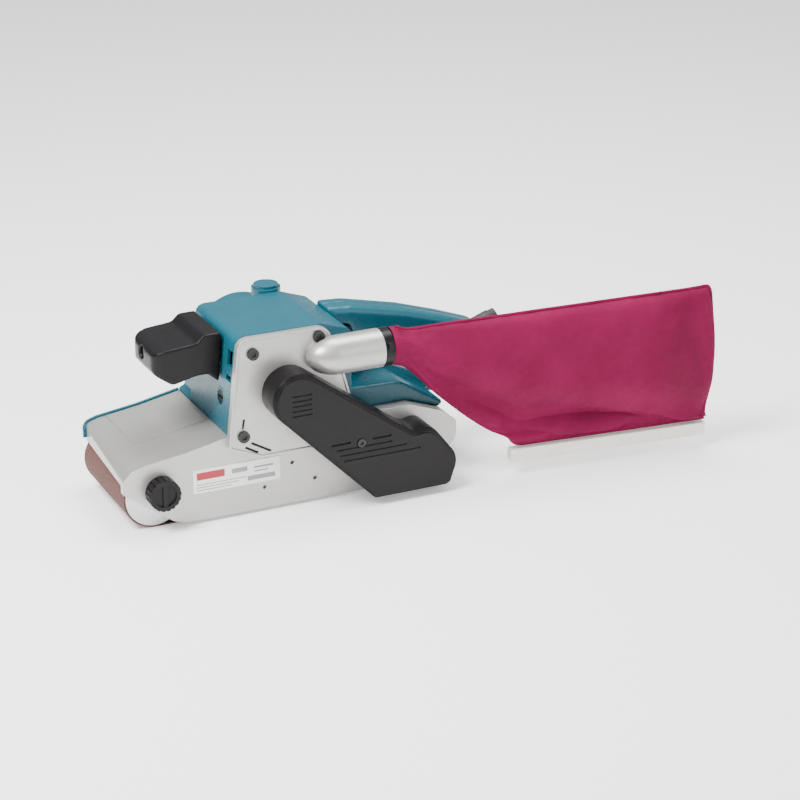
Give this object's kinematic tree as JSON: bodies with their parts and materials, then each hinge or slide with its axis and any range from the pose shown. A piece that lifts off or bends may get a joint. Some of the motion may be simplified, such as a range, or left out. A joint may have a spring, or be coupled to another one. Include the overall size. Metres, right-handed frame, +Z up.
{
  "type": "handheld belt sander",
  "caption": "Handheld belt sander with a closed sanding belt over two rollers, transverse motor, belt drive, two grips, tracking knob, tension lever and a side dust bag.",
  "frame": {"origin": "centre of the belt's flat sanding face, midway between the two rollers, on the work surface", "axes": "+X to the rear along the belt's travel, +Y from the drive-belt side to the motor side, +Z up"},
  "size_m": [0.5295, 0.2105, 0.1615],
  "materials": {
    "silver_casting": "satin",
    "inner_casting": "cast",
    "teal_plastic": "satin",
    "black_plastic": "textured",
    "pale_plastic": "smooth",
    "machined_steel": "machined",
    "laminations": "laminated",
    "brass": "machined",
    "carbon": "matt",
    "black_rubber": "matt",
    "sanding_cloth": "abrasive",
    "bag_cloth": "woven"
  },
  "bodies": {
    "frame": {"base_frame": "silver_casting", "inner_frame": "inner_casting", "platen": "machined_steel", "platen_pad": "carbon", "platen_screws": "machined_steel", "sanding_belt": "sanding_cloth", "far_bumper": "teal_plastic", "name_plate": "pale_plastic", "drive_plate": "silver_casting", "plate_screws": "machined_steel", "gear_case_cover": "inner_casting", "gear_bearings": "machined_steel", "motor_housing": "teal_plastic", "motor_end_cap": "teal_plastic", "end_cap_screws": "machined_steel", "stator_core": "laminations", "field_coils": "brass", "motor_bearings": "machined_steel", "brush_tubes": "brass", "carbon_brushes": "carbon", "brush_springs": "machined_steel", "brush_caps": "black_plastic", "drive_belt": "black_rubber", "drive_belt_cover": "black_plastic", "cover_screw": "machined_steel", "drive_bearings": "machined_steel", "knob_bush": "brass", "lever_pin": "machined_steel", "tension_spring": "machined_steel", "front_grip": "black_plastic", "grip_screw": "machined_steel", "handle_left": "teal_plastic", "handle_right": "teal_plastic", "handle_screws": "machined_steel", "switch_body": "black_plastic", "cord_gland": "black_rubber"},
    "armature": {"armature_shaft": "machined_steel", "armature_core": "laminations", "commutator": "brass", "cooling_fan": "pale_plastic", "dust_fan": "pale_plastic", "motor_pinion": "machined_steel"},
    "gear_train": {"gear_shaft": "machined_steel", "spur_gear": "machined_steel", "small_pulley": "black_rubber"},
    "drive_drum": {"drive_axle": "machined_steel", "drive_roller": "black_rubber", "large_pulley": "black_rubber"},
    "slider": {"tension_slider": "inner_casting"},
    "carrier": {"roller_carrier": "machined_steel", "front_axle": "machined_steel"},
    "front_drum": {"front_roller": "machined_steel"},
    "knob": {"tracking_knob": "black_plastic"},
    "lever": {"tension_lever": "black_plastic"},
    "trigger_lever": {"trigger": "black_plastic"},
    "lock": {"lock_button": "black_plastic"},
    "collar": {"bag_collar": "black_plastic"},
    "bag": {"dust_bag": "bag_cloth"},
    "rail": {"bag_rail": "pale_plastic"}
  },
  "joints": [
    {"name": "armature_spin", "type": "hinge", "parent": "frame", "child": "armature", "pos_m": [0.0186, 0, 0.0986], "axis": [0, 1, 0], "continuous": true},
    {"name": "gear_spin", "type": "hinge", "parent": "frame", "child": "gear_train", "pos_m": [0.00002, 0, 0.106], "axis": [0, 1, 0], "continuous": true},
    {"name": "drive_roller_spin", "type": "hinge", "parent": "frame", "child": "drive_drum", "pos_m": [0.11182, 0, 0.0265], "axis": [0, 1, 0], "continuous": true},
    {"name": "tension_release", "type": "slide", "parent": "frame", "child": "slider", "axis": [1, 0, 0], "range_m": [0, 0.006], "stiffness_N_per_m": 4000, "springref_m": -0.004, "deforming": ["tension_spring"]},
    {"name": "tracking_tilt", "type": "hinge", "parent": "slider", "child": "carrier", "pos_m": [-0.07902, 0, 0.0265], "axis": [0, 0, 1], "range_deg": [-0.3, 0.3]},
    {"name": "front_roller_spin", "type": "hinge", "parent": "carrier", "child": "front_drum", "pos_m": [-0.11182, 0, 0.0265], "axis": [0, 1, 0], "continuous": true},
    {"name": "tracking_knob_turn", "type": "hinge", "parent": "frame", "child": "knob", "pos_m": [-0.11002, -0.065, 0.0354], "axis": [0, 1, 0], "range_deg": [-90, 90]},
    {"name": "tension_lever_swing", "type": "hinge", "parent": "frame", "child": "lever", "pos_m": [-0.03802, 0.057, 0.0265], "axis": [0, 0, 1], "range_deg": [0, 80]},
    {"name": "trigger_pull", "type": "hinge", "parent": "frame", "child": "trigger_lever", "pos_m": [0.097, 0, 0.124], "axis": [0, -1, 0], "range_deg": [0, 9], "stiffness_Nm_per_rad": 0.5, "springref_deg": -11.46},
    {"name": "lock_press", "type": "slide", "parent": "frame", "child": "lock", "axis": [0, 1, 0], "range_m": [0, 0.003], "stiffness_N_per_m": 300, "springref_m": -0.003},
    {"name": "bag_pull_off", "type": "slide", "parent": "frame", "child": "collar", "axis": [1, 0, 0], "range_m": [0, 0.03]},
    {"name": "bag_swing", "type": "hinge", "parent": "collar", "child": "bag", "pos_m": [0.088, -0.07, 0.132], "axis": [-1, 0, 0], "range_deg": [0, 100]},
    {"name": "rail_slide_off", "type": "slide", "parent": "bag", "child": "rail", "axis": [0.9954, -0.0958, 0], "range_m": [0, 0.19]}
  ],
  "couplings": [
    {"joint": "gear_spin", "follows": "armature_spin", "ratio": -0.31579},
    {"joint": "drive_roller_spin", "follows": "armature_spin", "ratio": -0.18868},
    {"joint": "front_roller_spin", "follows": "armature_spin", "ratio": -0.18868},
    {"joint": "tension_lever_swing", "follows": "tension_release", "rad_per_m": 232.7},
    {"joint": "tracking_knob_turn", "follows": "tracking_tilt", "ratio": 300}
  ]
}
